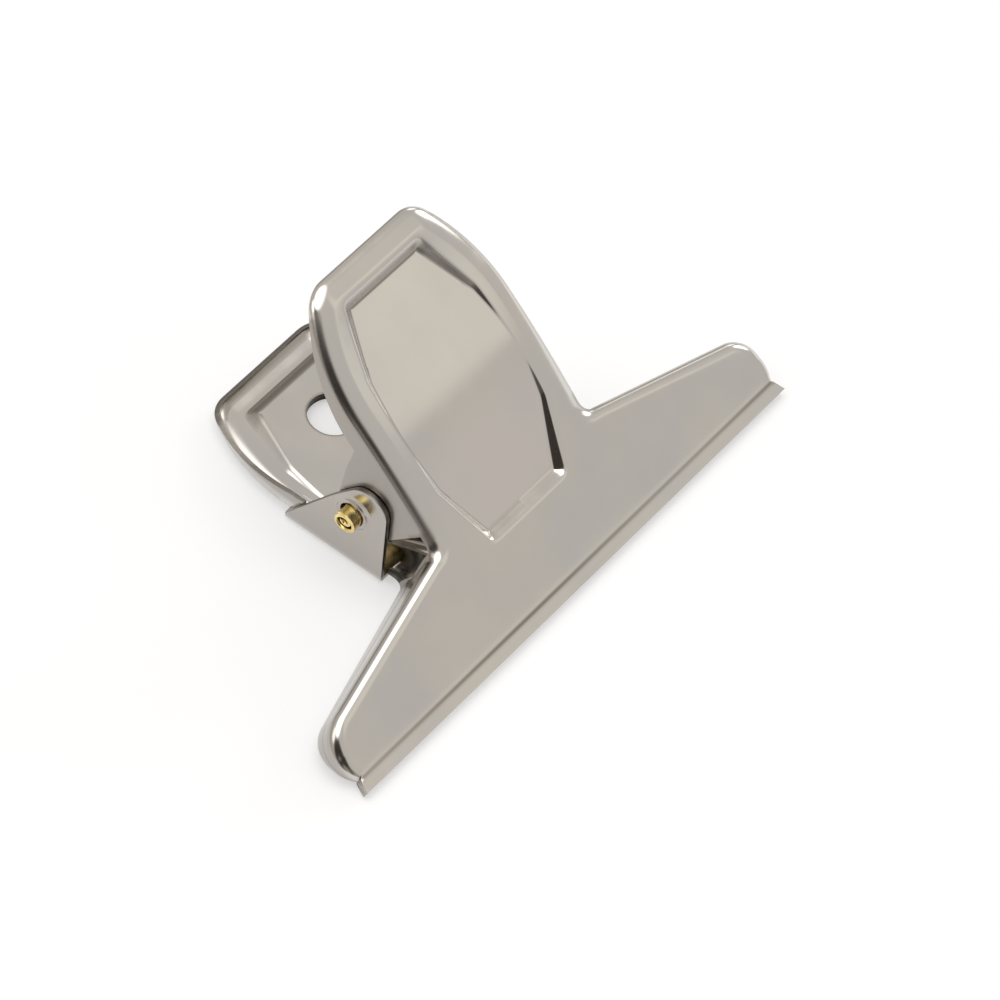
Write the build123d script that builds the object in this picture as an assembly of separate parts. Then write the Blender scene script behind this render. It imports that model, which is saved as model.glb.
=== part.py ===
"""Bulldog clip: two pressed steel plates hinged on a brass pin and held shut by a torsion spring.

Each plate is drawn in its own flat frame: X across the clip, Y from the crease at
the lip to the end of the handle, Z from the outer face inwards. The rear plate
stays there, the front plate is turned over about a line in the clip's mid-plane,
and at the end the closed clip is laid on its rear plate, with Z up.
"""
from build123d import *
import os
from math import acos, asin, atan2, cos, degrees, hypot, pi, radians, sin, sqrt

# Sheet and lip
sheet = 0.6
lip_width = 76.0
lip_height = 1.6
lip_gap = 0.04
plate_angle = 22.2

# Handle
plate_length = 45.0
handle_width = 27.4
barrel_start = 30.0
barrel_radius = 25.0
corner_radius = 4.0
handle_roll = 1.0
flange_end_depth = 1.3
flange_root_depth = 3.4

# Jaw wings
wing_centre_x = 33.7
wing_centre_y = 3.0
wing_radius = 4.8
wing_slope = 15.0
wing_roll = 1.6
seam_gap = 0.06

# Pressed panel of the handle
panel_bottom = 9.1
panel_top = 41.8
panel_end_width = 13.6
panel_kink_width = 19.2
panel_lower_kink = 18.0
panel_upper_kink = 33.0
panel_bow = 0.3
panel_depth = 1.1
panel_crown_depth = 0.06
panel_ridge_radius = 60.0
panel_wall_angle = 45.0
panel_corner = 0.8

# Ears
ear_start = 15.4
ear_end = 29.8
ear_elbow_y = 22.6
ear_elbow_height = 9.9
ear_peak_height = 18.0
ear_tip_radius = 2.8
ear_gap = 0.12
notch_depth = 1.2
collar_wall = 0.6
collar_height = 0.5

# Hinge pin, a tube rolled from brass strip
pin_height = 8.8
pin_diameter = 3.0
pin_wall = 0.5
pin_overhang = 1.5
pin_flare = 0.12
pin_flare_length = 0.7
pin_seam = 0.25
pin_running_clearance = 0.06
pin_seat_clearance = 0.02

# Hang hole of the rear handle
hole_diameter = 6.0
hole_y = 34.2

# Torsion spring
wire = 1.5
spring_bore_clearance = 0.5
spring_turns = 5
spring_pitch = 2.1
leg_reach = 15.6
leg_clearance = 0.15

# Places worked out from the sizes above
angle_sin = sin(radians(plate_angle))
angle_cos = cos(radians(plate_angle))
crease_offset = sheet + lip_gap / 2
pin_y = (pin_height * angle_cos - crease_offset) / angle_sin
pin_radius = pin_diameter / 2
handle_half = handle_width / 2
rear_ear_outset = sheet + ear_gap
towards_mid = Vector(0, -angle_sin, angle_cos)
along_mid = Vector(0, angle_cos, angle_sin)
mid_origin = towards_mid * crease_offset
tall = 2 * ear_peak_height
reach = 2 * (lip_width + plate_length)


def mid_block(gap):
    """Everything on the plate's own side of the mid-plane, short of it by half the gap."""
    face_plane = Plane(origin=mid_origin - towards_mid * gap / 2, x_dir=(1, 0, 0), z_dir=-towards_mid)
    return face_plane * Box(reach, reach, tall, align=(Align.CENTER, Align.CENTER, Align.MIN))


def side_prism(points, half_width):
    """A prism right across the clip, from an outline in the Y-Z plane."""
    face = make_face(Plane.YZ * Polyline(*points, close=True))
    return extrude(face, half_width, both=True)


def both_halves(right):
    """A closed face from the right half of an outline."""
    return make_face(right + mirror(right, Plane.YZ))


def handle_face(inset, low):
    """Handle outline: straight flanks, barrel curve, rounded corners and a straight end."""
    half = handle_half - inset
    centre = Vector(handle_half - barrel_radius, barrel_start)
    corner_y = plate_length - corner_radius
    between = barrel_radius - corner_radius
    corner_x = centre.X + sqrt(between ** 2 - (corner_y - centre.Y) ** 2)
    turn = degrees(atan2(corner_y - centre.Y, corner_x - centre.X))
    right = Curve() + [
        Line((0, low), (half, low)),
        Line((half, low), (half, barrel_start)),
        CenterArc((centre.X, centre.Y), barrel_radius - inset, 0, turn),
        CenterArc((corner_x, corner_y), corner_radius - inset, turn, 90 - turn),
        Line((corner_x, plate_length - inset), (0, plate_length - inset)),
    ]
    return both_halves(right)


def wing_edge_y(x, inset):
    """Height of the wing's sloping edge at a distance from the middle."""
    normal_x = sin(radians(wing_slope))
    normal_y = cos(radians(wing_slope))
    distance = wing_centre_x * normal_x + wing_centre_y * normal_y + wing_radius - inset
    return (distance - x * normal_x) / normal_y


def crease_half(inset):
    """Half the width of the jaw where the lip is bent."""
    return wing_centre_x + sqrt((wing_radius - inset) ** 2 - wing_centre_y ** 2)


def jaw_face(inset):
    """Jaw outline: the crease, a round wing end and a sloping edge up to the neck."""
    radius = wing_radius - inset
    start = degrees(asin(-wing_centre_y / radius))
    shoulder = handle_half / 2
    top = wing_edge_y(shoulder, inset)
    arc = CenterArc((wing_centre_x, wing_centre_y), radius, start, 90 - wing_slope - start)
    right = Curve() + [
        Line((0, 0), (crease_half(inset), 0)),
        arc,
        Line(arc @ 1, (shoulder, top)),
        Line((shoulder, top), (0, top)),
    ]
    return both_halves(right)


def rolled(block, level, roll, low):
    """The block with its outer edge rolled over, apart from its lower straight edge."""
    edges = block.edges().filter_by(lambda edge: abs(edge.bounding_box().max.Z - level) < 1e-4)
    edges = edges.filter_by(lambda edge: edge.center().Y > low + 1e-3)
    return fillet(edges, roll)


def handle_block(inset):
    """The handle as a solid block, its outer edge rolled over."""
    block = extrude(Pos(0, 0, inset) * handle_face(inset, wing_centre_y), tall)
    return rolled(block, inset, handle_roll - inset, wing_centre_y)


def jaw_block(inset):
    """The jaw as a solid block with walls square to the mid-plane, its outer edge rolled over."""
    place = towards_mid * (inset / angle_cos)
    block = extrude(Pos(*place) * jaw_face(inset), tall, dir=towards_mid)
    return rolled(block, inset, wing_roll - inset, place.Y)


def panel_face(grow):
    """Outline of the pressed panel: narrow ends, slanting shoulders and gently bowed sides."""
    end = panel_end_width / 2
    kink = panel_kink_width / 2
    middle = (panel_lower_kink + panel_upper_kink) / 2
    right = Curve() + [
        Polyline((0, panel_top), (end, panel_top), (kink, panel_upper_kink)),
        ThreePointArc((kink, panel_upper_kink), (kink + panel_bow, middle), (kink, panel_lower_kink)),
        Polyline((kink, panel_lower_kink), (end, panel_bottom), (0, panel_bottom)),
    ]
    face = both_halves(right)
    corners = face.vertices().group_by(Axis.Y)
    return offset(fillet(corners[0] + corners[-1], panel_corner), grow)


def recess(shift):
    """The hollow of the pressed panel, its floor a low ridge, or its inner copy one sheet further in."""
    lead = sheet / 2
    grow = lead + shift * (sqrt(2) - 1)
    mouth = Pos(0, 0, shift - lead) * panel_face(grow)
    walls = extrude(mouth, 2 * panel_depth + lead, taper=panel_wall_angle)
    low = Vector(0, panel_bottom, panel_depth + shift)
    high = Vector(0, panel_top, panel_depth + shift)
    crown = Vector(0, (panel_bottom + panel_top) / 2, panel_crown_depth + shift)
    floor_line = Curve() + [
        FilletPolyline(low, crown, high, radius=panel_ridge_radius),
        Polyline(high, (0, panel_top + tall, high.Z), (0, panel_top + tall, -tall), (0, -tall, -tall),
                 (0, -tall, low.Z), low),
    ]
    floor = extrude(make_face(floor_line), handle_width, both=True)
    return walls & floor


def ear_face():
    """Side view of an ear: straight jaw edge, rounded tip and a bent upper edge down to the flange."""
    corners = [
        (ear_start, 0),
        (ear_end, 0),
        (ear_elbow_y, ear_elbow_height),
        (ear_start, ear_peak_height),
    ]
    face = make_face(Polyline(*corners, close=True))
    tip = face.vertices().sort_by(Axis.Y)[-1]
    return Plane.YZ * fillet(tip, ear_tip_radius)


def flange_prism():
    """Where the handle's edge flange stands: deeper towards the ears, low at the relief notch."""
    return side_prism([
        (0, -sheet),
        (plate_length + sheet, -sheet),
        (plate_length + sheet, flange_end_depth),
        (ear_end, flange_root_depth),
        (ear_start, flange_root_depth),
        (ear_start, notch_depth),
        (0, notch_depth),
    ], handle_width)


def ear_block(half, level, roll):
    """Both ears as solid blocks as far as their outer or inner faces, with the bend along the plate."""
    block = extrude(ear_face(), half, both=True)
    block = block & Pos(0, 0, level) * Box(reach, reach, tall, align=(Align.CENTER, Align.CENTER, Align.MIN))
    edges = block.edges().filter_by(Axis.Y).group_by(Axis.Z)[0]
    edges = edges.filter_by(lambda edge: abs(abs(edge.center().X) - half) < 1e-4)
    return fillet(edges, roll) - Box(handle_width - 4 * handle_roll, reach, reach)


def lip_strip():
    """The strip bent along the jaw that meets its twin on the other plate."""
    edge = lip_width / 2
    crease = crease_half(0)
    face = make_face(Polyline((-crease, 0), (crease, 0), (edge, -lip_height), (-edge, -lip_height), close=True))
    strip_plane = Plane(origin=(0, 0, 0), x_dir=(1, 0, 0), z_dir=towards_mid)
    return extrude(strip_plane * face, sheet, dir=towards_mid)


def pin_cylinder(radius, half_length):
    """A cylinder on the hinge axis, centred on the clip."""
    return Pos(0, pin_y, pin_height) * Rot(0, 90, 0) * Cylinder(radius, 2 * half_length)


def bare_plate(stands):
    """A pressed plate with its lip, wings, panel and whatever of the handle's flange stands."""
    outer = (handle_block(0) & stands) + (jaw_block(0) & mid_block(seam_gap)) - recess(0)
    inner = handle_block(sheet) + jaw_block(sheet) - recess(sheet)
    return outer - inner + lip_strip()


def front_plate():
    """The front plate, turned over to face the rear one: ears in line with its flange, running holes."""
    plate = bare_plate(flange_prism() + extrude(ear_face(), handle_width, both=True))
    plate = plate - pin_cylinder(pin_radius + pin_running_clearance, handle_width)
    return plate.rotate(Axis(mid_origin, along_mid), 180)


def rear_plate():
    """The rear plate: ears outside the front pair, collars round the pin and a hang hole."""
    ear_half = handle_half + rear_ear_outset
    plate = bare_plate(flange_prism()) + ear_block(ear_half, 0, handle_roll)
    plate = plate - ear_block(ear_half - sheet, sheet, handle_roll - sheet)
    collars = pin_cylinder(pin_radius + collar_wall, ear_half + collar_height)
    collars = collars - pin_cylinder(pin_radius + collar_wall + sheet, ear_half - sheet / 2)
    plate = plate + collars - pin_cylinder(pin_radius + pin_seat_clearance, handle_width)
    return plate - Pos(0, hole_y, 0) * Cylinder(hole_diameter / 2, tall)


def hinge_pin():
    """The brass tube, flared at both ends to hold it in the ears, with its rolled seam."""
    end = handle_half + rear_ear_outset + collar_height + pin_overhang
    neck = end - pin_flare_length
    bore = pin_radius - pin_wall
    right = [(neck, bore), (end, bore + pin_flare), (end, pin_radius + pin_flare), (neck, pin_radius)]
    left = [(-x, radius) for x, radius in reversed(right)]
    tube = revolve(make_face(Polyline(*right, *left, close=True)), Axis.X)
    slit = Box(3 * end, pin_seam, pin_diameter, align=(Align.CENTER, Align.CENTER, Align.MIN))
    return Pos(0, pin_y, pin_height) * (tube - slit)


def panel_floor(y):
    """Depth of the panel's floor below the outer face at a place along the plate."""
    half = (panel_top - panel_bottom) / 2
    away = abs(y - (panel_top + panel_bottom) / 2) / half
    return panel_crown_depth + (panel_depth - panel_crown_depth) * away


coil_radius = pin_radius + spring_bore_clearance + wire / 2
leg_height = pin_height - sheet - panel_floor(pin_y + leg_reach) - wire / 2 - leg_clearance
leg_distance = hypot(leg_reach, leg_height)
leg_length = sqrt(leg_distance ** 2 - coil_radius ** 2)
leave_angle = radians(plate_angle) + atan2(leg_height, leg_reach) + acos(coil_radius / leg_distance)
coil_angle = 2 * pi * (spring_turns + 1) - 2 * leave_angle
rise_per_radian = spring_pitch / (2 * pi)


def clip_point(x, angle, radius):
    """A point round the pin, the angle counted from the handles' side towards the rear plate."""
    return Vector(x, pin_y, pin_height) + along_mid * radius * cos(angle) - towards_mid * radius * sin(angle)


def coil_point(turned):
    """A point of the coil's centre line."""
    return clip_point(rise_per_radian * (coil_angle / 2 - turned), leave_angle + turned, coil_radius)


def coil_tangent(turned):
    """The direction of the coil's centre line."""
    round_part = clip_point(0, leave_angle + turned + pi / 2, coil_radius) - Vector(0, pin_y, pin_height)
    return (round_part - Vector(rise_per_radian, 0, 0)).normalized()


def coil_curl(first, last):
    """A stretch of the coil as two arcs that share a tangent where they meet."""
    start, finish = coil_point(first), coil_point(last)
    leaving, arriving = coil_tangent(first), coil_tangent(last)
    chord = finish - start
    lean = chord.dot(leaving + arriving)
    spread = 2 * (1 - leaving.dot(arriving))
    handle = (sqrt(lean ** 2 + spread * chord.dot(chord)) - lean) / spread
    near, far = start + leaving * handle, finish - arriving * handle
    middle = (near + far) / 2
    return [
        Edge.make_tangent_arc(start, leaving, middle),
        Edge.make_tangent_arc(middle, far - near, finish),
    ]


def spring_gap():
    """Least gap between the spring's own turns and legs, measured on points of its centre line."""
    steps = 40 * (spring_turns + 2)
    spots = [(coil_angle * step / steps, coil_point(coil_angle * step / steps)) for step in range(steps + 1)]
    least = reach
    for turned, spot in spots:
        for other, place in spots:
            if other - turned > pi:
                least = min(least, (place - spot).length - wire)
    for step in range(1, steps + 1):
        along = leg_length * step / steps
        leg_spot = coil_point(0) - coil_tangent(0) * along
        for turned, spot in spots:
            if turned * coil_radius + along > pi * coil_radius:
                least = min(least, (leg_spot - spot).length - wire)
    return least


def torsion_spring():
    """The steel spring: a coil round the pin, its legs bearing on the insides of the handles."""
    curls = 2 * (spring_turns + 1)
    start, finish = coil_point(0), coil_point(coil_angle)
    lengthen = leg_length / cos(atan2(rise_per_radian, coil_radius))
    rear_tip = start - coil_tangent(0) * lengthen
    front_tip = finish + coil_tangent(coil_angle) * lengthen
    edges = [Edge.make_line(rear_tip, start)]
    for curl in range(curls):
        edges += coil_curl(coil_angle * curl / curls, coil_angle * (curl + 1) / curls)
    edges.append(Edge.make_line(finish, front_tip))
    section = Plane(origin=rear_tip, z_dir=coil_tangent(0)) * Circle(wire / 2)
    return sweep(section, path=Wire(edges))


pieces = {
    "front_plate": front_plate(),
    "rear_plate": rear_plate(),
    "hinge_pin": hinge_pin(),
    "torsion_spring": torsion_spring(),
}

# The closed clip lies on the rear plate's lip edge and on the end of its handle
rest_run = plate_length - handle_roll + lip_height * angle_cos
rest_tilt = degrees(atan2(lip_height * angle_sin, rest_run))
laid = {name: Rot(-rest_tilt, 0, 0) * piece for name, piece in pieces.items()}
box = Compound(children=[Compound(piece.solids()) for piece in laid.values()]).bounding_box()
to_origin = Pos(0, -(box.min.Y + box.max.Y) / 2, -box.min.Z)

os.makedirs("parts", exist_ok=True)
for name, piece in laid.items():
    placed = to_origin * piece
    export_step(placed, "parts/" + name + ".step")
    print(name, "solids", len(placed.solids()), "volume", round(placed.volume, 2), "valid", placed.is_valid)

# Places the record needs
lay_down = to_origin * Rot(-rest_tilt, 0, 0)
print("size", [round(value, 3) for value in box.size])
print("rest tilt", round(rest_tilt, 4))
print("pin", [round(value, 4) for value in (lay_down * Pos(0, pin_y, pin_height)).position])
hole_spot = Pos(0, hole_y, sheet / 2 + panel_floor(hole_y))
print("hole", [round(value, 4) for value in (lay_down * hole_spot).position])
print("spring least gap to itself", round(spring_gap(), 3))
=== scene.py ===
import math

import bmesh
import bpy
import numpy as np
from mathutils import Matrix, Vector
from mathutils.geometry import delaunay_2d_cdt


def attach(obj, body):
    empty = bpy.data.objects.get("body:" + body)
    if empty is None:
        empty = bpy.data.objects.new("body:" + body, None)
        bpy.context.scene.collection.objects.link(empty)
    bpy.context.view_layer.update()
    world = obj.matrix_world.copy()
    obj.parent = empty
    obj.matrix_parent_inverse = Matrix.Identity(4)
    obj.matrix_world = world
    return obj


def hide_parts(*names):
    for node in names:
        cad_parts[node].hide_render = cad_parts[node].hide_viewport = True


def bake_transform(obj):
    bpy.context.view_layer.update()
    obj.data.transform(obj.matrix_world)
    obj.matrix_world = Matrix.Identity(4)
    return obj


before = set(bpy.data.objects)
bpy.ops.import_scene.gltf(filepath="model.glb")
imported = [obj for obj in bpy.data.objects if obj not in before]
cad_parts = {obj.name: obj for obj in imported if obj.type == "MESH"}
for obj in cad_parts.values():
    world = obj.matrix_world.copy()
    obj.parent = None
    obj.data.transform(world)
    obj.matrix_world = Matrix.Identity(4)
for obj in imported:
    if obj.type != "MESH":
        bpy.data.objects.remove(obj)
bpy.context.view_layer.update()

# Front plate: mild steel sheet, blanked, dished and folded in a press, then nickel plated.
# The lip, wings, finger handle, pressed panel and ears are all one sheet, and the ears turn
# on the pin. Lengths are in millimetres on the flat plate until it is laid on the table.
sheet, lip_gap_half = 0.6, 0.02
crease_offset = sheet + lip_gap_half
lean = math.radians(22.2)
lean_sin, lean_cos, lean_tan = math.sin(lean), math.cos(lean), math.tan(lean)
rest_tilt = math.radians(0.7615)
table_shift, table_lift = -21.535, 0.5849
pin_along, pin_deep = 19.922, 8.8


def laid(points):
    """Points of the rear plate (across, along, inwards), laid on the table in metres."""
    across, along, inward = np.asarray(points, float).T
    along_table = along * math.cos(rest_tilt) + inward * math.sin(rest_tilt) + table_shift
    up = -along * math.sin(rest_tilt) + inward * math.cos(rest_tilt) + table_lift
    return np.stack([across, along_table, up], 1) / 1000


def laid_over(points):
    """The same points on the front plate, which faces the rear one across the mid-plane."""
    across, along, inward = np.asarray(points, float).T
    from_mid = -(crease_offset + along * lean_sin - inward * lean_cos) - crease_offset
    up_mid = along * lean_cos + inward * lean_sin
    along_rear = from_mid * lean_sin + up_mid * lean_cos
    inward_rear = up_mid * lean_sin - from_mid * lean_cos
    return laid(np.stack([-across, along_rear, inward_rear], 1))


lip_edge_half, lip_height = 38.0, 1.6
wing_centre, wing_radius, wing_slope = (33.7, 3.0), 4.8, math.radians(15)
wing_roll, wing_roll_share, wing_room = 1.6, 0.95, 0.03
neck_round, notch_deep = 1.2, 1.25
handle_half, handle_end, handle_roll = 13.7, 45.0, 1.45
barrel_centre, barrel_radius, corner_radius = (-11.3, 30.0), 25.0, 4.0
flange_root, flange_tip, flange_least, flange_tuck = 3.4, 1.3, 1e-4, 2.4
ear_low, ear_high, ear_slit, ear_seam = 15.4, 29.8, 0.06, 0.04
ear_base, ear_blend, ear_roll = 1.4, 0.6, 0.45
ear_elbow, ear_elbow_soft, ear_peak, ear_round = (22.6, 9.9), 2.5, 18.0, 2.8
elbow_run = (ear_high - ear_elbow[0]) / ear_elbow[1]


def on_circle(centre, radius, angle):
    """The point of a circle at an angle."""
    return centre[0] + radius * math.cos(angle), centre[1] + radius * math.sin(angle)


def eased(share):
    """A share from 0 to 1 that starts and ends gently."""
    return share * share * (3 - 2 * share)


def wing_depth(along):
    """How deep the wing's edge is folded: nearly to the mid-plane between the jaws."""
    return (crease_offset - wing_room + along * lean_sin) * lean_cos


def flange_depth(along):
    """How deep the handle's flange is, narrowing from the ear to the handle's end."""
    return flange_root + (flange_tip - flange_root) * max(0, along - ear_high) / (handle_end - ear_high)


def jaw_edge():
    """Stations up the right-hand edge of the jaw: round the wing's end, up its slope and round the neck.

    A station is (x, y, outward x, outward y, roll, share of jaw fold, share of ear fold, depth)."""
    slope_x, slope_y = math.sin(wing_slope), math.cos(wing_slope)
    slope_turn = math.pi / 2 - wing_slope
    reach = wing_centre[0] * slope_x + wing_centre[1] * slope_y + wing_radius
    jaw = []
    for angle in np.linspace(-math.asin(wing_centre[1] / wing_radius), slope_turn, 40):
        x, y = on_circle(wing_centre, wing_radius, angle)
        roll = min(wing_roll, wing_roll_share * wing_depth(y))
        jaw.append((x, y, math.cos(angle), math.sin(angle), roll, 1, 0, wing_depth(y)))
    neck_x = handle_half + neck_round
    neck_y = (reach + neck_round - neck_x * slope_x) / slope_y
    for x in np.linspace(jaw[-1][0], neck_x - neck_round * slope_x, 30)[1:]:
        y = (reach - x * slope_x) / slope_y
        jaw.append((x, y, slope_x, slope_y, wing_roll, 1, 0, wing_depth(y)))
    for share in np.linspace(0, 1, 13)[1:]:
        angle = slope_turn * (1 - share)
        x, y = on_circle((neck_x, neck_y), -neck_round, angle)
        roll = wing_roll + (handle_roll - wing_roll) * share
        depth = wing_depth(y) + (notch_deep - wing_depth(y)) * min(1, 2 * share)
        jaw.append((x, y, math.cos(angle), math.sin(angle), roll, 1 - share, 0, depth))
    for y in np.linspace(neck_y, ear_low - ear_slit, 6)[1:]:
        jaw.append((handle_half, y, 1, 0, handle_roll, 0, 0, notch_deep))
    return jaw


def ear_foot(ear_outset):
    """Depth of the fold that the ear stands on, and where its sloping side comes down to that fold."""
    base = ear_base if ear_outset else flange_root
    return base, ear_high - elbow_run * base


def ear_edge(ear_outset):
    """Stations along the ear's fold. An ear that is set out blends back into the flange at its end."""
    base, crossing = ear_foot(ear_outset)
    set_out = 1 if ear_outset else 0
    stops = np.linspace(ear_low, crossing, 22).tolist()
    stops += np.linspace(crossing, ear_high - ear_seam, 12)[1:].tolist()
    ear = []
    for y in stops:
        out = set_out * (1 - eased(max(0, 1 - (ear_high - y) / ear_blend)))
        depth = min(base, (ear_high - y) / elbow_run) if set_out else base
        roll = handle_roll + (ear_roll - handle_roll) * out
        ear.append((handle_half + ear_outset * out, y, 1, 0, roll, 0, out, depth))
    return ear


def handle_edge():
    """Stations up the handle's barrelled side, round its corner and along its end to the middle."""
    handle = [(handle_half, ear_high, 1, 0, handle_roll, 0, 0, flange_root)]
    corner_y = handle_end - corner_radius
    climb = corner_y - barrel_centre[1]
    corner_x = barrel_centre[0] + math.sqrt((barrel_radius - corner_radius) ** 2 - climb ** 2)
    turn = math.atan2(climb, corner_x - barrel_centre[0])
    side = (barrel_centre, barrel_radius, np.linspace(0, turn, 30))
    corner = ((corner_x, corner_y), corner_radius, np.linspace(turn, math.pi / 2, 22)[1:])
    for centre, radius, angles in (side, corner):
        for angle in angles:
            x, y = on_circle(centre, radius, angle)
            handle.append((x, y, math.cos(angle), math.sin(angle), handle_roll, 0, 0, flange_depth(y)))
    for x in np.linspace(corner_x, 0, 10)[1:]:
        handle.append((x, handle_end, 0, 1, handle_roll, 0, 0, flange_tip))
    return handle


def fold_curve(angle):
    """A quarter fold one deep, from its turning angle along the way, as (outward, downward) steps."""
    angle = np.radians(angle)
    out, down = np.cumsum(np.cos(angle)), np.cumsum(np.sin(angle))
    deep = down[-1] - down[0]
    return np.stack([(out - out[-1]) / deep, (down - down[0]) / deep])


fold_way = np.linspace(0, 1, 241)
shoulder_turn, shoulder_run, handle_late, jaw_late = 15, 0.1, 4, 1.35
handle_shoulder = shoulder_turn * (1 - np.exp(-fold_way / shoulder_run))
handle_fold = fold_curve(handle_shoulder + (90 - shoulder_turn) * fold_way ** handle_late)
jaw_fold = fold_curve(90 * fold_way ** jaw_late)
ear_fold = fold_curve(90 * fold_way)


def fold_rows(station):
    """Points down one station of the folded edge: round the fold, then down the flange."""
    x, y, out_x, out_y, roll, jaw, ear, depth = station
    fold_out, fold_down = (1 - ear) * (jaw * jaw_fold + (1 - jaw) * handle_fold) + ear * ear_fold
    last = float(np.interp(min(depth, roll) / roll, fold_down, fold_way))
    rows = []
    for way in (last * np.linspace(0, 1, 16)).tolist():
        out = roll * float(np.interp(way, fold_way, fold_out))
        down = roll * float(np.interp(way, fold_way, fold_down))
        rows.append((x + out * out_x, y + out * out_y - jaw * lean_tan * down, down))
    edge_x, edge_y, edge_down = rows[-1]
    for share in np.linspace(0, 1, 7)[1:].tolist():
        down = edge_down + max(depth - roll, flange_least) * share
        rows.append((edge_x, edge_y - jaw * lean_tan * (down - edge_down), down))
    return rows


panel_low, panel_high, panel_end_half, panel_kink_half = 9.1, 41.9, 6.8, 9.7
panel_kinks, panel_bow = (18.0, 33.0), 0.3
panel_corner, panel_kink_round, rim_step = 1.1, 0.5, 0.35
panel_deep, panel_shallow, ridge_soft = 0.95, 0.06, 0.16
wall_least, wall_slope = 0.3, 1.5
lip_bend, lip_reach = 0.42, 6.0


def panel_outline():
    """The pressed panel's rim line, sampled closely, counter-clockwise, with small round corners."""
    low_kink, high_kink = panel_kinks
    right = [(panel_end_half, panel_low), (panel_kink_half, low_kink)]
    for share in np.linspace(0, 1, 12)[1:-1]:
        bow = panel_bow * 4 * share * (1 - share)
        right.append((panel_kink_half + bow, low_kink + (high_kink - low_kink) * share))
    right += [(panel_kink_half, high_kink), (panel_end_half, panel_high)]
    corners = [Vector(spot) for spot in right + [(-x, y) for x, y in reversed(right)]]
    line = []
    for number, corner in enumerate(corners):
        before = (corners[number - 1] - corner).normalized()
        after = (corners[(number + 1) % len(corners)] - corner).normalized()
        at_end = min(abs(corner.y - panel_low), abs(corner.y - panel_high)) < 0.01
        cut = panel_corner if at_end else panel_kink_round
        for share in np.linspace(0, 1, 7).tolist():
            line.append(corner + ((1 - share) ** 2 * before * cut + share ** 2 * after * cut))
    closed = []
    for here, there in zip(line, line[1:] + line[:1]):
        steps = max(1, int((there - here).length / rim_step))
        closed += [here.lerp(there, step / steps) for step in range(steps)]
    return np.array([(spot.x, spot.y) for spot in closed])


def inside_line(points, line):
    """Distance from each point to a closed line, positive inside it."""
    points = np.asarray(points, float)
    tiny = 1e-12
    run = np.roll(line, -1, 0) - line
    offset = points[:, None, :] - line[None]
    share = np.clip((offset * run).sum(2) / np.maximum((run * run).sum(1), tiny), 0, 1)
    gap = np.sqrt(((offset - share[..., None] * run) ** 2).sum(2)).min(1)
    x, y = points[:, 0, None], points[:, 1, None]
    x0, y0 = line[:, 0], line[:, 1]
    x1, y1 = x0 + run[:, 0], y0 + run[:, 1]
    straddles = (y0 > y) != (y1 > y)
    crossing = x < (x1 - x0) * (y - y0) / np.where(y1 == y0, tiny, y1 - y0) + x0
    odd = (straddles & crossing).sum(1) % 2 == 1
    return np.where(odd, gap, -gap)


def panel_floor(along):
    """Depth of the panel's floor: a soft ridge across its middle, falling away to both ends."""
    middle, half = (panel_low + panel_high) / 2, (panel_high - panel_low) / 2
    away = (along - middle) / half
    fall = (np.sqrt(away ** 2 + ridge_soft ** 2) - ridge_soft) / (math.sqrt(1 + ridge_soft ** 2) - ridge_soft)
    return panel_shallow + (panel_deep - panel_shallow) * np.minimum(fall, 1)


def wall_run(along):
    """Width of the panel's wall in plan. It keeps one slope, so it narrows where the floor rises."""
    return wall_least + wall_slope * panel_floor(along)


def pressed_depth(points, rim):
    """Depth of the outer face: the panel behind its round shoulder, and the lip bent out at the crease."""
    along = points[:, 1]
    share = np.clip(inside_line(points, rim) / wall_run(along), 0, 1)
    lip = (np.sqrt(along ** 2 + lip_bend ** 2) - along) / 2
    return panel_floor(along) * eased(share) - lean_tan * np.where(along < lip_reach, lip, 0)


def circle(centre, radius, steps):
    """A closed ring of points in plan."""
    turns = np.linspace(0, 2 * math.pi, steps + 1)[:-1].tolist()
    return [on_circle(centre, radius, turn) for turn in turns]


def grid_points(first, second):
    """Every pairing of two rows of measures, as points in plan."""
    return np.stack(np.meshgrid(first, second), 2).reshape(-1, 2)


def between(points, loops, margin):
    """Which points lie inside the first loop and outside the others, by a margin."""
    good = inside_line(points, np.array(loops[0])) > margin
    for hole in loops[1:]:
        good &= inside_line(points, np.array(hole)) < -margin
    return good


def flat_fill(loops, inner):
    """Triangles that fill the first loop round the others, through the inner points."""
    spots, edges = [], []
    for loop in loops:
        first = len(spots)
        spots += [Vector(spot) for spot in loop]
        edges += [(first + n, first + (n + 1) % len(loop)) for n in range(len(loop))]
    spots += [Vector(spot) for spot in inner]
    found, _, faces = delaunay_2d_cdt(spots, edges, [], 0, 1e-5)[:3]
    found = np.array([(spot.x, spot.y) for spot in found])
    centres = np.array([found[list(face)].mean(0) for face in faces])
    return found, [face for face, good in zip(faces, between(centres, loops, 0)) if good]


wall_rows = [-0.15, 0] + [n / 8 for n in range(1, 9)] + [1.12, 1.4]
crease_rows = (-1.1, -0.8, -0.55, -0.35, -0.2, -0.08, 0.08, 0.2, 0.35, 0.55, 0.8, 1.1, 1.5, 2.0)
crease_across = np.arange(-37.5, 37.6, 0.6)
grid_across, grid_along = np.arange(-37, 37.1, 1.0), np.arange(2.6, 44.5, 1.0)
hole_rows, hole_steps, hole_room = (0.16, 0.34, 0.7), 64, 1.0
row_slack, inside_wall, outside_rim, face_margin = 0.03, 2.1, 0.6, 0.12


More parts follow.
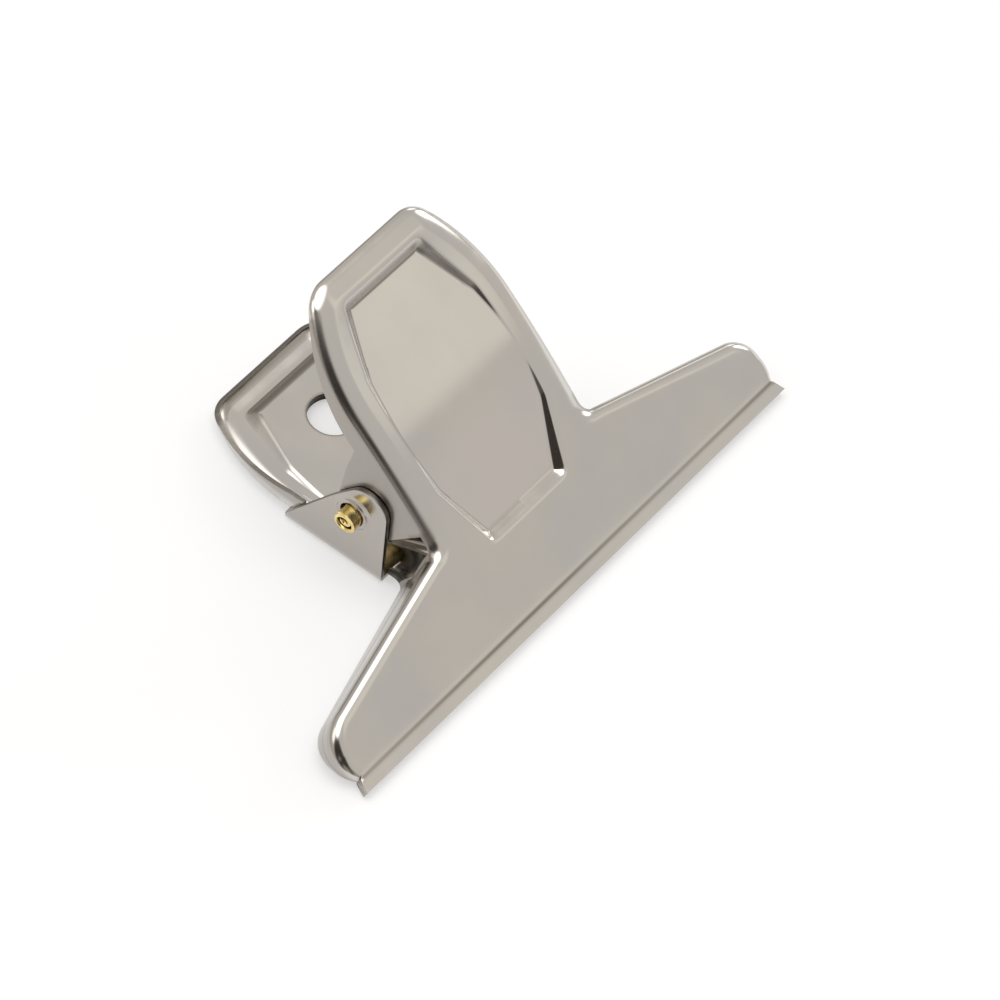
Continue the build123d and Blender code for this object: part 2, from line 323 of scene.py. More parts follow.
def face_points(rim, loops, hole):
    """Points inside the face: rows down the panel's wall, on the crease and round the hole, and a grid."""
    along_rim = np.roll(rim, -1, 0) - np.roll(rim, 1, 0)
    inwards = np.stack([-along_rim[:, 1], along_rim[:, 0]], 1) / np.linalg.norm(along_rim, axis=1)[:, None]
    points = []
    for share in wall_rows:
        step = share * wall_run(rim[:, 1])
        row = rim + inwards * step[:, None]
        points.append(row[np.abs(inside_line(row, rim) - step) < row_slack])
    for along in crease_rows:
        points.append(np.stack([crease_across, np.full_like(crease_across, along)], 1))
    grid = grid_points(grid_across, grid_along)
    from_rim = inside_line(grid, rim)
    grid = grid[(from_rim > inside_wall) | (from_rim < -outside_rim)]
    if hole:
        hole_along, hole_radius = hole
        for away in hole_rows:
            points.append(circle((0, hole_along), hole_radius + away, hole_steps))
        grid = grid[np.hypot(grid[:, 0], grid[:, 1] - hole_along) > hole_radius + hole_room]
    points = np.concatenate(points + [grid])
    return points[between(points, loops, face_margin)]


def ear_outline(base, crossing):
    """The flat of an ear: along its fold, down its sloping side through a soft elbow, and round its tip."""
    elbow, finish = Vector(ear_elbow), Vector((crossing, base))
    half_turn = (elbow - Vector((ear_low, ear_peak))).normalized().angle(Vector((0, -1))) / 2
    centre = Vector((ear_low + ear_round, ear_peak - ear_round / math.tan(half_turn)))
    tip = [(ear_low, deep) for deep in np.linspace(base, centre.y, 8)[1:]]
    tip += [on_circle(centre, ear_round, angle) for angle in np.linspace(math.pi, 2 * half_turn, 18)[1:]]
    start = Vector(tip[-1])
    soft = min(ear_elbow_soft, (elbow - start).length * 0.8)
    bend_in = elbow + (start - elbow).normalized() * soft
    bend_out = elbow + (finish - elbow).normalized() * soft
    bend = []
    for share in np.linspace(0, 1, 10).tolist():
        spot = (1 - share) ** 2 * bend_in + 2 * share * (1 - share) * elbow + share ** 2 * bend_out
        bend.append(tuple(spot))
    fold = [(y, base) for y in np.linspace(ear_low, crossing, 22)]
    slope = [tuple(bend_out.lerp(finish, share)) for share in (0.66, 0.33)]
    return fold + slope + (tip + bend)[::-1]


def add_faces(shell, points, faces):
    """New corners in a shell, and the faces between them."""
    corners = [shell.verts.new(point) for point in points]
    for face in faces:
        shell.faces.new([corners[n] for n in face])


def add_fold(shell, run, side):
    """The folded edge along one run of stations, on the right (1) or the left (-1)."""
    columns = []
    for station in run:
        columns.append([shell.verts.new((side * x, y, deep)) for x, y, deep in fold_rows(station)])
    for here, there in zip(columns, columns[1:]):
        for row in range(len(here) - 1):
            shell.faces.new((here[row], here[row + 1], there[row + 1], there[row]))


weld, sliver = 2e-4, 1e-5


def face_outwards(shell):
    """Joins the shell's parts into one skin and turns it so that the outer face is outside."""
    bmesh.ops.remove_doubles(shell, verts=shell.verts[:], dist=weld)
    bmesh.ops.dissolve_degenerate(shell, edges=shell.edges[:], dist=sliver)
    bmesh.ops.recalc_face_normals(shell, faces=shell.faces[:])
    shell.faces.ensure_lookup_table()
    jaw_middle = Vector((0, 4, 0))
    nearest = min(shell.faces, key=lambda face: (face.calc_center_median() - jaw_middle).length)
    if nearest.normal.z > 0:
        bmesh.ops.reverse_faces(shell, faces=shell.faces[:])


def added(name, data):
    """An object with this data, put in the scene."""
    thing = bpy.data.objects.new(name, data)
    bpy.context.scene.collection.objects.link(thing)
    return thing


edge_soft, edge_angle = 0.09, math.radians(60)


def thickened(name, shell, finishes):
    """The skin given the sheet's thickness inwards, with the sheared edges a little softened."""
    flat = bpy.data.meshes.new(name + "_blank")
    shell.to_mesh(flat)
    shell.free()
    for finish in finishes:
        flat.materials.append(finish)
    blank = added(name + "_blank", flat)
    thick = blank.modifiers.new("sheet", "SOLIDIFY")
    thick.thickness = sheet
    thick.offset = -1
    thick.use_even_offset = False
    thick.material_offset_rim = 1
    soft = blank.modifiers.new("sheared_edge", "BEVEL")
    soft.width = edge_soft
    soft.segments = 2
    soft.limit_method = "ANGLE"
    soft.angle_limit = edge_angle
    done = bpy.data.meshes.new_from_object(blank.evaluated_get(bpy.context.evaluated_depsgraph_get()))
    bpy.data.objects.remove(blank)
    done.name = name
    return done


def ramp(value, start, run):
    """Nothing up to the start, and from there evenly up to one over the run."""
    return np.clip((value - start) / run, 0, 1)


# Painted shade and painted dark reflections, each given as how dark the plating's colour is made: on the
# panel's walls, along the crease, on the flanges, ears and neck, and round the hang hole. The same mask also
# makes the plating rougher there.
end_wall_shade, end_wall_reach, end_wall_fade = 0.85, 3.2, 1.2
upper_wall_shade, upper_wall_fade, right_wall_shade = 0.4, 1.5, 0.3
crease_shade, crease_sway, crease_wave, crease_start = 0.78, 0.16, 9.0, 0.6
crease_middle, crease_width = 0.04, 0.24
flange_low, flange_from, flange_fade, flange_past, end_flange = ear_low - 0.1, 0.45, 0.5, 1.2, 2.4
ear_shade, ear_inside, outer_ear, ear_fade = 0.46, 12.5, 14.0, 0.8
outer_ear_from, inner_ear_from = 0.15, 1.8
neck_shade, neck_inside, neck_full, neck_fade, neck_low = 0.85, 12.4, 15.0, 4.0, 5.0
neck_from, neck_run = 0.35, 0.5
punch_width = 0.16


def painted_shade_and_dullness(points, rim, outline, hole, side_flange_shade, end_flange_shade):
    """How rough and how painted-dark the plating is, 0 to 1: painted shade and painted dark reflections on
    the panel's walls, in the crease, on flanges, ears and neck, and round the hole.
    """
    plan, inward = points[:, :2], points[:, 2]
    across, along = np.abs(plan[:, 0]), plan[:, 1]
    from_rim, run = inside_line(plan, rim), wall_run(along)
    foot = np.clip(from_rim / run, 0, 1) * (from_rim < run + row_slack)
    # Painted shade on the panel's wall at the handle's end.
    end_wall = end_wall_shade * ramp(along, panel_high - end_wall_reach, end_wall_fade) * np.sqrt(foot)
    # Painted shade on the panel's side walls: the upper part of both, and the whole of the right-hand one
    # only.
    upper_wall = upper_wall_shade * ramp(along, panel_kinks[1], upper_wall_fade)
    side_wall = foot * (upper_wall + right_wall_shade * (plan[:, 0] > 0))
    # Painted shade along the crease, a little uneven along its length.
    crease = np.exp(-((along - crease_middle) / crease_width) ** 2) * (np.abs(inward) < sheet / 2)
    crease = crease * (crease_shade + crease_sway * np.sin(plan[:, 0] / crease_wave + crease_start))
    # Painted dark reflection on the flanges, set apart for their sides and for the handle's end.
    past_outline = -inside_line(plan, outline) > flange_past
    flange = ramp(inward, flange_from, flange_fade) * past_outline * (along > flange_low)
    flange = flange * np.where(along > handle_end - end_flange, end_flange_shade, side_flange_shade)
    # Painted dark reflection on the ears.
    ear_from = np.where(across > outer_ear, outer_ear_from, inner_ear_from)
    ear = ear_shade * ramp(inward, ear_from, ear_fade) * (across > ear_inside)
    # Painted shade round the neck, between the ear and the wing.
    at_neck = (across > neck_inside) * (along > neck_low) * (along < ear_low)
    neck = neck_shade * at_neck * (1 - ramp(across, neck_full, neck_fade)) * ramp(inward, neck_from, neck_run)
    # Painted shade round the hang hole's edge.
    hole_edge_shade = np.zeros(len(points))
    if hole:
        hole_along, hole_radius = hole
        from_edge = np.hypot(plan[:, 0], along - hole_along) - hole_radius
        hole_edge_shade = np.exp(-(from_edge / punch_width) ** 2)
    return np.maximum.reduce([end_wall, side_wall, crease, flange, ear, neck, hole_edge_shade])


bow_middle, bow_half, bow_flange, bow_fade = 24.0, 17.0, 6.5, 3.0


def bowed(points, bow):
    """How far each point of a plate stands out where the handle and its flange bow outwards."""
    along, inward = points[:, 1], points[:, 2]
    share = np.clip((along - bow_middle) / bow_half, -1, 1)
    return bow * np.cos(math.pi / 2 * share) ** 2 * np.clip((bow_flange - inward) / bow_fade, 0, 1)


def settled(mesh, where, sharp):
    """Sets a mesh's points in metres, and smooths it but for edges sharper than an angle in degrees."""
    mesh.vertices.foreach_set("co", where.astype(np.float32).ravel())
    mesh.polygons.foreach_set("use_smooth", np.ones(len(mesh.polygons), bool))
    mesh.set_sharp_from_angle(angle=math.radians(sharp))
    mesh.update()


eye_radius, eye_steps, ear_margin = 1.56, 48, 0.35
ear_grid = grid_points(np.arange(15.9, 28, 0.9), np.arange(2.2, 14.5, 0.9))
on_line, past_crease, plate_sharp = 1e-4, 0.01, 38


def plate_mesh(name, ear_outset, bow, hole, flange_painted_shade, finishes, drawn, placed):
    """The whole plate: dished face, folded edges and ears, thickened inwards to the sheet."""
    jaw, ear, handle = jaw_edge(), ear_edge(ear_outset), handle_edge()
    runs = [jaw + ear + handle]
    if ear_outset:
        stops = np.linspace(ear_high - flange_tuck, ear_high, 5)[:-1].tolist()
        tucked = [(handle_half, y, *handle[0][2:]) for y in stops]
        runs = [jaw, ear, tucked + handle]

    lip_low = -lip_height * lean_cos
    crease_half = wing_centre[0] + math.sqrt(wing_radius ** 2 - wing_centre[1] ** 2)
    right = [(lip_edge_half, lip_low), (crease_half, 0)]
    right += [fold_rows(station)[0][:2] for station in jaw + ear + handle]
    loop = right + [(-x, y) for x, y in reversed(right[:-1])]
    loop += [(x, lip_low) for x in np.linspace(-lip_edge_half, lip_edge_half, 78)[1:-1]]
    loops = [loop]
    if hole:
        loops.append(circle((0, hole[0]), hole[1], hole_steps))
    rim, outline = panel_outline(), np.array(loop)
    spots, faces = flat_fill(loops, face_points(rim, loops, hole))
    deep = pressed_depth(spots, rim)
    on_edge = np.abs(inside_line(spots, outline)) < on_line
    deep[on_edge & (spots[:, 1] > past_crease)] = 0

    ear_loops = [ear_outline(*ear_foot(ear_outset)), circle((pin_along, pin_deep), eye_radius, eye_steps)]
    ear_spots, ear_faces = flat_fill(ear_loops, ear_grid[between(ear_grid, ear_loops, ear_margin)])
    ear_face = handle_half + ear_outset

    shell = bmesh.new()
    add_faces(shell, np.column_stack([spots, deep]), faces)
    for side in (1, -1):
        for run in runs:
            add_fold(shell, run, side)
        add_faces(shell, [(side * ear_face, along, inward) for along, inward in ear_spots], ear_faces)
    face_outwards(shell)
    done = thickened(name, shell, finishes)
    if drawn:
        drawn(done, ear_face, hole)
    where = np.array([corner.co for corner in done.vertices])
    # The mask of painted shade and dullness is stored on the plate's points for its finishes.
    dull_and_painted_shade = done.attributes.new("dull_and_painted_shade", "FLOAT", "POINT")
    dull_and_painted_shade.data.foreach_set("value", painted_shade_and_dullness(where, rim, outline, hole, *flange_painted_shade).astype(np.float32))
    where[:, 2] -= bowed(where, bow)
    settled(done, placed(where), plate_sharp)
    return added(name, done)


# The plating's own tints, and the dark brown it is painted towards as shade and dark reflection where the
# mask is high.
nickel_light, nickel_cool, nickel_painted_shade = (0.69, 0.655, 0.61), (0.645, 0.625, 0.60), (0.19, 0.16, 0.135)
dull_gloss = 0.27


def bare_metal(name):
    """A new metal finish, with its nodes and its surface."""
    finish = bpy.data.materials.new(name)
    finish.use_nodes = True
    tree = finish.node_tree
    skin = tree.nodes["Principled BSDF"]
    skin.inputs["Metallic"].default_value = 1.0
    return finish, tree, skin


def nickel_plate():
    """Bright nickel over pressed steel: faint tints, handling haze, and painted shade and painted dark
    reflections in folds, flanges and walls, which are rougher too.
    """
    finish, tree, skin = bare_metal("nickel_plate")
    place = tree.nodes.new("ShaderNodeTexCoord")

    def noise(scale, detail, stretch=(1, 1, 1)):
        lie = tree.nodes.new("ShaderNodeMapping")
        lie.inputs["Scale"].default_value = stretch
        tree.links.new(place.outputs["Object"], lie.inputs["Vector"])
        cloud = tree.nodes.new("ShaderNodeTexNoise")
        cloud.inputs["Scale"].default_value = scale
        cloud.inputs["Detail"].default_value = detail
        tree.links.new(lie.outputs["Vector"], cloud.inputs["Vector"])
        return cloud.outputs["Fac"]

    def ranged(value, low, high, first=0.35, last=0.65):
        span = tree.nodes.new("ShaderNodeMapRange")
        span.inputs["From Min"].default_value = first
        span.inputs["From Max"].default_value = last
        span.inputs["To Min"].default_value = low
        span.inputs["To Max"].default_value = high
        tree.links.new(value, span.inputs["Value"])
        return span.outputs["Result"]

    def mixed(kind, factor, first, second):
        mix = tree.nodes.new("ShaderNodeMix")
        mix.data_type = kind
        slots = [slot for slot in mix.inputs if slot.enabled]
        tree.links.new(factor, slots[0])
        for slot, value in zip(slots[1:], (first, second)):
            if isinstance(value, bpy.types.NodeSocket):
                tree.links.new(value, slot)
            else:
                slot.default_value = value
        return next(slot for slot in mix.outputs if slot.enabled)

    def bump(height, strength, distance):
        relief = tree.nodes.new("ShaderNodeBump")
        relief.inputs["Strength"].default_value = strength
        relief.inputs["Distance"].default_value = distance
        tree.links.new(height, relief.inputs["Height"])
        return relief

    clouds = ranged(noise(scale=75, detail=2, stretch=(1, 0.45, 1)), low=0, high=1)
    tint = mixed("RGBA", clouds, (*nickel_light, 1), (*nickel_cool, 1))
    # Where the mask is high the colour is painted dark as shade and dark reflection, and the gloss is duller.
    dull_and_painted_shade = tree.nodes.new("ShaderNodeAttribute")
    dull_and_painted_shade.attribute_name = "dull_and_painted_shade"
    colour = mixed("RGBA", dull_and_painted_shade.outputs["Fac"], tint, (*nickel_painted_shade, 1))
    tree.links.new(colour, skin.inputs["Base Color"])
    haze = ranged(noise(scale=260, detail=5), low=0.10, high=0.17)
    worn = ranged(dull_and_painted_shade.outputs["Fac"], low=0, high=1, first=0, last=0.6)
    tree.links.new(mixed("FLOAT", worn, haze, dull_gloss), skin.inputs["Roughness"])
    wave = bump(noise(scale=160, detail=1), strength=0.25, distance=0.00002)
    fine = bump(noise(scale=2600, detail=3), strength=0.05, distance=0.000004)
    tree.links.new(wave.outputs["Normal"], fine.inputs["Normal"])
    tree.links.new(fine.outputs["Normal"], skin.inputs["Normal"])
    return finish


# The cut edge's own grain tones, and the near black it is painted towards as shade where the mask is high.
torn_dark, torn_light, cut_edge_painted_shade = (0.38, 0.35, 0.315), (0.58, 0.54, 0.495), (0.02, 0.016, 0.013)
torn_grain, torn_gloss = 2200, 0.38


def sheared_steel():
    """The cut edge of the sheet: torn steel grain under a thin plate, darker than the faces, and painted near
    black as shade where the mask is high.
    """
    finish, tree, skin = bare_metal("sheared_edge")
    skin.inputs["Roughness"].default_value = torn_gloss
    grain = tree.nodes.new("ShaderNodeTexNoise")
    grain.inputs["Scale"].default_value = torn_grain
    place = tree.nodes.new("ShaderNodeTexCoord")
    tree.links.new(place.outputs["Object"], grain.inputs["Vector"])
    shades = tree.nodes.new("ShaderNodeValToRGB")
    shades.color_ramp.elements[0].color = (*torn_dark, 1)
    shades.color_ramp.elements[1].color = (*torn_light, 1)
    tree.links.new(grain.outputs["Fac"], shades.inputs["Fac"])
    dull_and_painted_shade = tree.nodes.new("ShaderNodeAttribute")
    dull_and_painted_shade.attribute_name = "dull_and_painted_shade"
    # Painted shade: the mask darkens the cut edge towards near black.
    shadow = tree.nodes.new("ShaderNodeMix")
    shadow.data_type = "RGBA"
    tree.links.new(dull_and_painted_shade.outputs["Fac"], shadow.inputs["Factor"])
    tree.links.new(shades.outputs["Color"], shadow.inputs["A"])
    shadow.inputs["B"].default_value = (*cut_edge_painted_shade, 1)
    tree.links.new(shadow.outputs["Result"], skin.inputs["Base Color"])
    return finish


plate_finishes = (nickel_plate(), sheared_steel())
# The front plate gets strong painted dark reflection on its side flanges and little at the handle's end.
front = plate_mesh("front_sheet", ear_outset=0, bow=0.55, hole=None, flange_painted_shade=(0.62, 0.1),
                   finishes=plate_finishes, drawn=None, placed=laid_over)
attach(front, "front")
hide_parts("front_plate")

# Rear plate: the same pressed and plated sheet, with its ears set out to pass outside the
# front pair, and a round hole to hang the clip by. Short necks are drawn out of its ears
# round the pin, and the hole's edge is drawn out behind.
neck_section = [(0, 2.7), (0.08, 2.4), (0.16, 2.2), (0.28, 2.08), (0.38, 1.95), (0.42, 1.78), (0.36, 1.62),
                (0.2, 1.53), (-0.4, 1.53), (-0.4, 2.7)]
hole_section = [(0.3, 0), (0.3, 0.5), (0, 0.38), (-0.3, 0.22), (-0.36, 0.1), (-0.36, 0)]


def ring(whole, section, place):
    """A closed ring joined to a piece: the section turned once round, set by place(out, radius, turn)."""
    loops = []
    for turn in np.linspace(0, 2 * math.pi, hole_steps + 1)[:-1].tolist():
        loops.append([whole.verts.new(place(out, radius, turn)) for out, radius in section])
    faces = []
    for here, there in zip(loops, loops[1:] + loops[:1]):
        for spot in range(len(section)):
            after = (spot + 1) % len(section)
            faces.append(whole.faces.new((here[spot], here[after], there[after], there[spot])))
    bmesh.ops.recalc_face_normals(whole, faces=faces)
    return faces


def drawn_edges(mesh, ear_face, hole):
    """The necks on the two ears, and the edge round the hang hole."""
    hole_along, hole_radius = hole
    floor = float(panel_floor(hole_along))

    def on_right(out, radius, turn):
        return ear_face + out, *on_circle((pin_along, pin_deep), radius, turn)

    def on_left(out, radius, turn):
        return -(ear_face + out), *on_circle((pin_along, pin_deep), radius, turn)

    def at_hole(out, wide, turn):
        return *on_circle((0, hole_along), hole_radius + wide, turn), floor + out

    whole = bmesh.new()
    whole.from_mesh(mesh)
    ring(whole, neck_section, on_right)
    ring(whole, neck_section, on_left)
    for face in ring(whole, hole_section, at_hole):
        face.material_index = 1
    whole.to_mesh(mesh)
    whole.free()


# The rear plate gets little painted dark reflection on its side flanges and more at the handle's end.
rear = plate_mesh("rear_sheet", ear_outset=0.72, bow=0, hole=(34.2, 3.0), flange_painted_shade=(0.12, 0.55),
                  finishes=plate_finishes, drawn=drawn_edges, placed=laid)
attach(rear, "rear")
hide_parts("rear_plate")

# Hinge pin: brass strip rolled up into a tight tube, pushed through all four ears and spread
# a little at its cut ends. The outer edge of the strip stands proud along the seam.
pin_radius, pin_strip, pin_end, pin_turns = 1.5, 0.44, 16.38, 1.85
seam_turn, seam_start, seam_run, seam_gap = math.radians(60), 0.66, 0.34, 0.03
inner_pitch, end_taper, end_skew, skew_turn = 0.46, 0.16, 0.14, 4.0
outer_end = [(0.9, 0), (0.5, 0.03), (0.2, 0.1), (0.07, 0.09)]
inner_end = [(0, -0.06), (0, -0.3), (0.1, -pin_strip + 0.04), (0.3, -pin_strip)]
brass_light, brass_dark = (0.93, 0.77, 0.38), (0.66, 0.50, 0.18)


def rolled_strip():
    """The strip wound in on itself round the hinge line, its end edges soft and cut out of square."""
    strip = bmesh.new()
    loops = []
    for turns in np.linspace(0, pin_turns, 130).tolist():
        under = eased(min(1, max(0, (turns - seam_start) / seam_run)))
        sunk = (pin_strip + seam_gap) * under + inner_pitch * max(0, turns - 1)
        spread = max(0, 1 - turns)
        angle = 2 * math.pi * turns + seam_turn
        end = pin_end - end_taper * turns - end_skew * (0.5 + 0.5 * math.cos(angle - skew_turn))
        right = [(0, 0)] + [(end - back, out * spread) for back, out in outer_end]
        right += [(end - back, out) for back, out in inner_end] + [(0, -pin_strip)]
        left = [(-x, out) for x, out in reversed(right)][1:-1]
        loop = []
        for x, out in right + left:
            along, inward = on_circle((pin_along, pin_deep), pin_radius - sunk + out, angle)
            loop.append(strip.verts.new((x, along, inward)))
        loops.append(loop)
    for here, there in zip(loops, loops[1:]):
        for spot in range(len(here)):
            after = (spot + 1) % len(here)
            strip.faces.new((here[spot], here[after], there[after], there[spot]))
    strip.faces.new(loops[0][::-1])
    strip.faces.new(loops[-1])
    bmesh.ops.recalc_face_normals(strip, faces=strip.faces[:])
    bmesh.ops.triangulate(strip, faces=[face for face in strip.faces if len(face.verts) > 4])
    return strip


def finished(name, built, sharp, finish):
    """A piece from geometry built on the rear plate, laid with it, smooth but for its sharp edges."""
    mesh = bpy.data.meshes.new(name)
    built.to_mesh(mesh)
    built.free()
    settled(mesh, laid([corner.co for corner in mesh.vertices]), sharp)
    mesh.materials.append(finish)
    return added(name, mesh)


def drawn_metal(name, light, dark, grain, stretch, low, high):
    """Bare rolled or drawn metal: streaks along the piece, a blotchy tarnish and uneven gloss."""
    finish, tree, skin = bare_metal(name)
    place = tree.nodes.new("ShaderNodeTexCoord")
    lie = tree.nodes.new("ShaderNodeMapping")
    lie.inputs["Scale"].default_value = stretch
    tree.links.new(place.outputs["Object"], lie.inputs["Vector"])
    streak = tree.nodes.new("ShaderNodeTexNoise")
    streak.inputs["Scale"].default_value = grain
    streak.inputs["Detail"].default_value = 4
    tree.links.new(lie.outputs["Vector"], streak.inputs["Vector"])
    shades = tree.nodes.new("ShaderNodeValToRGB")
    shades.color_ramp.elements[0].position = 0.34
    shades.color_ramp.elements[0].color = (*dark, 1)
    shades.color_ramp.elements[1].position = 0.62
    shades.color_ramp.elements[1].color = (*light, 1)
    tree.links.new(streak.outputs["Fac"], shades.inputs["Fac"])
    tree.links.new(shades.outputs["Color"], skin.inputs["Base Color"])
    gloss = tree.nodes.new("ShaderNodeMapRange")
    gloss.inputs["To Min"].default_value = low
    gloss.inputs["To Max"].default_value = high
    tree.links.new(streak.outputs["Fac"], gloss.inputs["Value"])
    tree.links.new(gloss.outputs["Result"], skin.inputs["Roughness"])
    ridges = tree.nodes.new("ShaderNodeBump")
    ridges.inputs["Strength"].default_value = 0.3
    ridges.inputs["Distance"].default_value = 0.00002
    tree.links.new(streak.outputs["Fac"], ridges.inputs["Height"])
    tree.links.new(ridges.outputs["Normal"], skin.inputs["Normal"])
    return finish


brass = drawn_metal("rolled_brass", brass_light, brass_dark,
                    grain=900, stretch=(0.25, 1, 1), low=0.16, high=0.34)
pin = finished("pin_tube", rolled_strip(), sharp=40, finish=brass)
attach(pin, "rear")
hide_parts("hinge_pin")

# Torsion spring: drawn steel wire wound five and a bit turns round the pin, with a straight
# leg under each handle.
wire_radius, coil_radius, coil_turns, coil_pitch = 0.75, 2.75, 5, 2.1
leg_reach, leg_room, leg_steps, turn_steps, wire_sides = 15.6, 0.19, 14, 28, 24
snipped_end = [(0, 0.6), (0.12, 0.9), (0.3, 1)]
steel_light, steel_dark = (0.42, 0.405, 0.39), (0.22, 0.205, 0.19)


def wire_line():
    """Points down the middle of the wire, from the rear leg's tip through the coil to the front leg's."""
    leg_height = pin_deep - sheet - float(panel_floor(pin_along + leg_reach)) - wire_radius - leg_room
    distance = math.hypot(leg_reach, leg_height)
    leg = math.sqrt(distance ** 2 - coil_radius ** 2)
    leaves = lean + math.atan2(leg_height, leg_reach) + math.acos(coil_radius / distance)
    wound = 2 * math.pi * (coil_turns + 1) - 2 * leaves
    climb = coil_pitch / (2 * math.pi)

    def spot(turned):
        out, down = on_circle((0, 0), coil_radius, leaves + turned)
        along = pin_along + out * lean_cos + down * lean_sin
        inward = pin_deep + out * lean_sin - down * lean_cos
        return Vector((climb * (wound / 2 - turned), along, inward))

    def heading(turned):
        return (spot(turned + 1e-4) - spot(turned - 1e-4)).normalized()

    leg_shares = np.linspace(0, 1, leg_steps).tolist()
    line = [spot(0) - heading(0) * leg * share for share in leg_shares[:0:-1]]
    line += [spot(wound * share) for share in np.linspace(0, 1, turn_steps * (coil_turns + 1)).tolist()]
    line += [spot(wound) + heading(wound) * leg * share for share in leg_shares[1:]]
    return line, climb * wound / 2


def wire_tube(line):
    """Round wire along the line, with snipped ends that are slightly rounded."""
    tube = bmesh.new()
    first, last = (line[1] - line[0]).normalized(), (line[-1] - line[-2]).normalized()
    path = [(line[0] + first * back, swell) for back, swell in snipped_end]
    path += [(spot, 1) for spot in line[1:-1]]
    path += [(line[-1] - last * back, swell) for back, swell in reversed(snipped_end)]
    side = first.orthogonal().normalized()
    rings = []
    for number, (spot, swell) in enumerate(path):
        before, after = path[max(0, number - 1)][0], path[min(len(path) - 1, number + 1)][0]
        ahead = (after - before).normalized()
        side = (side - ahead * side.dot(ahead)).normalized()
        up = ahead.cross(side)
        around = []
        for turn in np.linspace(0, 2 * math.pi, wire_sides + 1)[:-1].tolist():
            out = side * math.cos(turn) + up * math.sin(turn)
            around.append(tube.verts.new(spot + wire_radius * swell * out))
        rings.append(around)
    for here, there in zip(rings, rings[1:]):
        for number in range(len(here)):
            after = (number + 1) % len(here)
            tube.faces.new((here[number], here[after], there[after], there[number]))
    tube.faces.new(rings[0][::-1])
    tube.faces.new(rings[-1])
    bmesh.ops.recalc_face_normals(tube, faces=tube.faces[:])
    return tube


wire = drawn_metal("spring_steel", steel_light, steel_dark,
                   grain=1400, stretch=(1, 1, 1), low=0.2, high=0.4)
line, coil_half = wire_line()
spring = finished("spring_wire", wire_tube(line), sharp=50, finish=wire)
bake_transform(spring)
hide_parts("torsion_spring")

# Table: a plain matt white sheet, flat under the clip and wide enough to fill the view.
# It glows a little so that it stays white, and keeps the clip's faint shadow.
table_half, table_top = 3, -0.0002
table_corners = [(-table_half, -table_half, table_top), (table_half, -table_half, table_top),
                 (table_half, table_half, table_top), (-table_half, table_half, table_top)]
floor_mesh = bpy.data.meshes.new("table_top")
floor_mesh.from_pydata(table_corners, [], [(0, 1, 2, 3)])
floor = added("table_top", floor_mesh)
paper = bpy.data.materials.new("table_white")
paper.use_nodes = True
sheet_white = paper.node_tree.nodes["Principled BSDF"]
sheet_white.inputs["Base Color"].default_value = (0.55, 0.555, 0.57, 1)
sheet_white.inputs["Roughness"].default_value = 0.9
sheet_white.inputs["Emission Color"].default_value = (1, 1, 1, 1)
sheet_white.inputs["Emission Strength"].default_value = 0.42
floor_mesh.materials.append(paper)

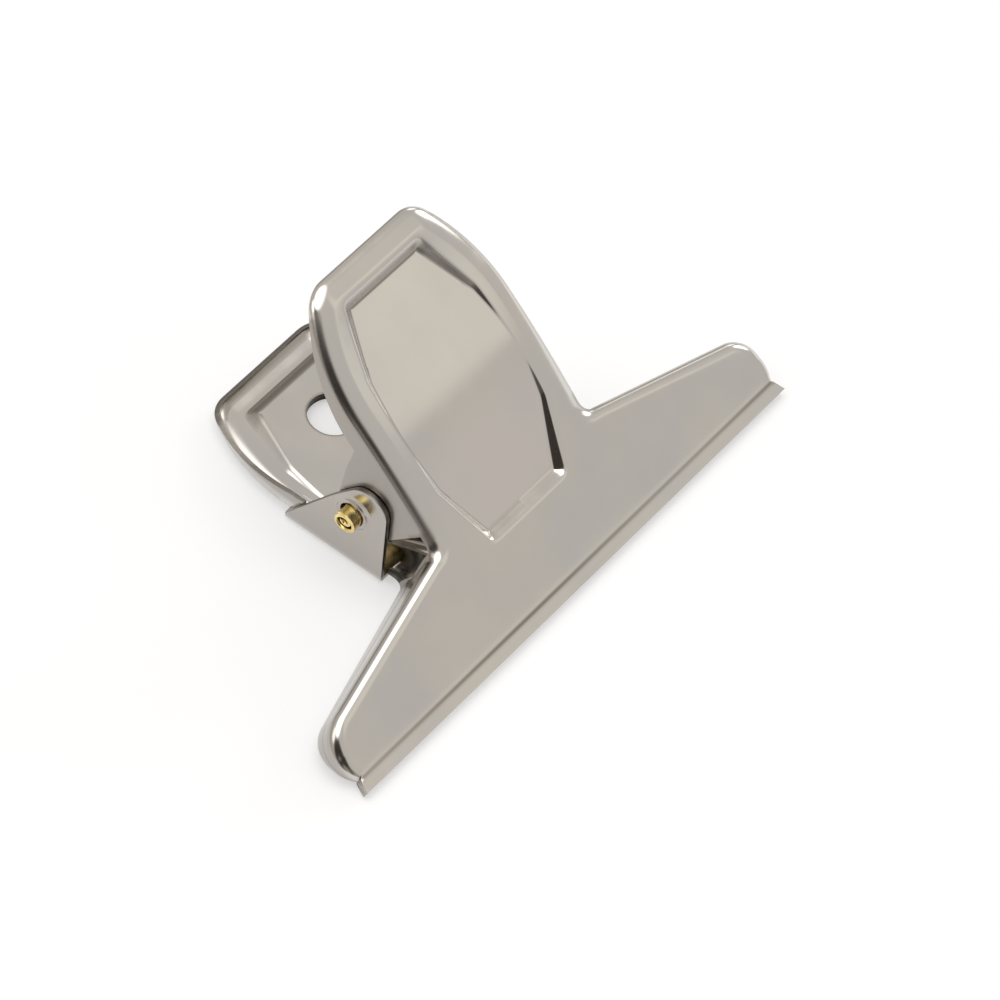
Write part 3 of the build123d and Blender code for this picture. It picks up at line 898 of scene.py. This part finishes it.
# Light: one even grey room, with a broad soft panel overhead and a small window to the right,
# and darker walls that the bright metal mirrors. Each patch has its direction, the angles in
# degrees out to which it is full and at which it has faded, and its colour.
room_grey = (0.66, 0.64, 0.61)
room_patches = {
    "back_wall": ((0.45, 0.88, 0.05), 12, 34, (0.38, 0.36, 0.335)),
    "camera_side": ((-0.70, -0.52, 0.48), 24, 38, (0.05, 0.042, 0.036)),
    "low_corner": ((-0.38, -0.92, 0.10), 12, 26, (0.15, 0.135, 0.125)),
    "doorway": ((-0.22, -0.97, 0.06), 12, 17, (0.42, 0.395, 0.37)),
    "cupboard": ((-0.75, -0.64, 0.18), 9, 16, (0.36, 0.34, 0.32)),
    "far_wall": ((0.50, -0.58, 0.64), 11, 19, (0.88, 0.85, 0.785)),
    "far_shade": ((0.56, -0.45, 0.69), 9, 15, (0.73, 0.705, 0.66)),
    "skirting": ((0.52, -0.87, 0.10), 6, 13, (0.70, 0.665, 0.645)),
    "ceiling_panel": ((-0.03, -0.03, 1.0), 19, 33, (2.6, 2.57, 2.48)),
    "left_panel": ((-0.62, 0.32, 0.72), 12, 20, (1.9, 1.88, 1.8)),
    "right_panel": ((0.88, 0.31, 0.38), 7.5, 10.3, (1.9, 1.88, 1.8)),
    "window": ((0.93, -0.15, 0.33), 8, 13, (4.0, 3.95, 3.8)),
}
world = bpy.data.worlds.new("studio")
bpy.context.scene.world = world
world.use_nodes = True
tree = world.node_tree
backdrop = tree.nodes["Background"]
direction = tree.nodes.new("ShaderNodeTexCoord")
shade = None
for name, (towards, full, fade, colour) in room_patches.items():
    facing = tree.nodes.new("ShaderNodeVectorMath")
    facing.operation = "DOT_PRODUCT"
    facing.inputs[1].default_value = Vector(towards).normalized()
    tree.links.new(direction.outputs["Generated"], facing.inputs[0])
    edge = tree.nodes.new("ShaderNodeMapRange")
    edge.interpolation_type = "SMOOTHSTEP"
    edge.inputs["From Min"].default_value = math.cos(math.radians(fade))
    edge.inputs["From Max"].default_value = math.cos(math.radians(full))
    tree.links.new(facing.outputs["Value"], edge.inputs["Value"])
    mix = tree.nodes.new("ShaderNodeMix")
    mix.data_type = "RGBA"
    mix.label = name
    tree.links.new(edge.outputs["Result"], mix.inputs["Factor"])
    mix.inputs["A"].default_value = (*room_grey, 1)
    mix.inputs["B"].default_value = (*colour, 1)
    if shade:
        tree.links.new(shade, mix.inputs["A"])
    shade = mix.outputs["Result"]
tree.links.new(shade, backdrop.inputs["Color"])
backdrop.inputs["Strength"].default_value = 1.0

# Camera: a long lens set high in front of the lips and off to the left, looking down at the
# clip, so that the jaw runs from lower left to upper right and the handles lie upper left.
camera_data = bpy.data.cameras.new("camera")
camera_data.lens = 216.15
camera_data.sensor_width = 36
camera = added("camera", camera_data)
camera.location = (-0.34903, -0.23020, 0.53525)
camera.rotation_euler = (math.radians(37.630), math.radians(-4.925), math.radians(-51.535))
bpy.context.scene.camera = camera
bpy.context.scene.view_settings.view_transform = "Standard"
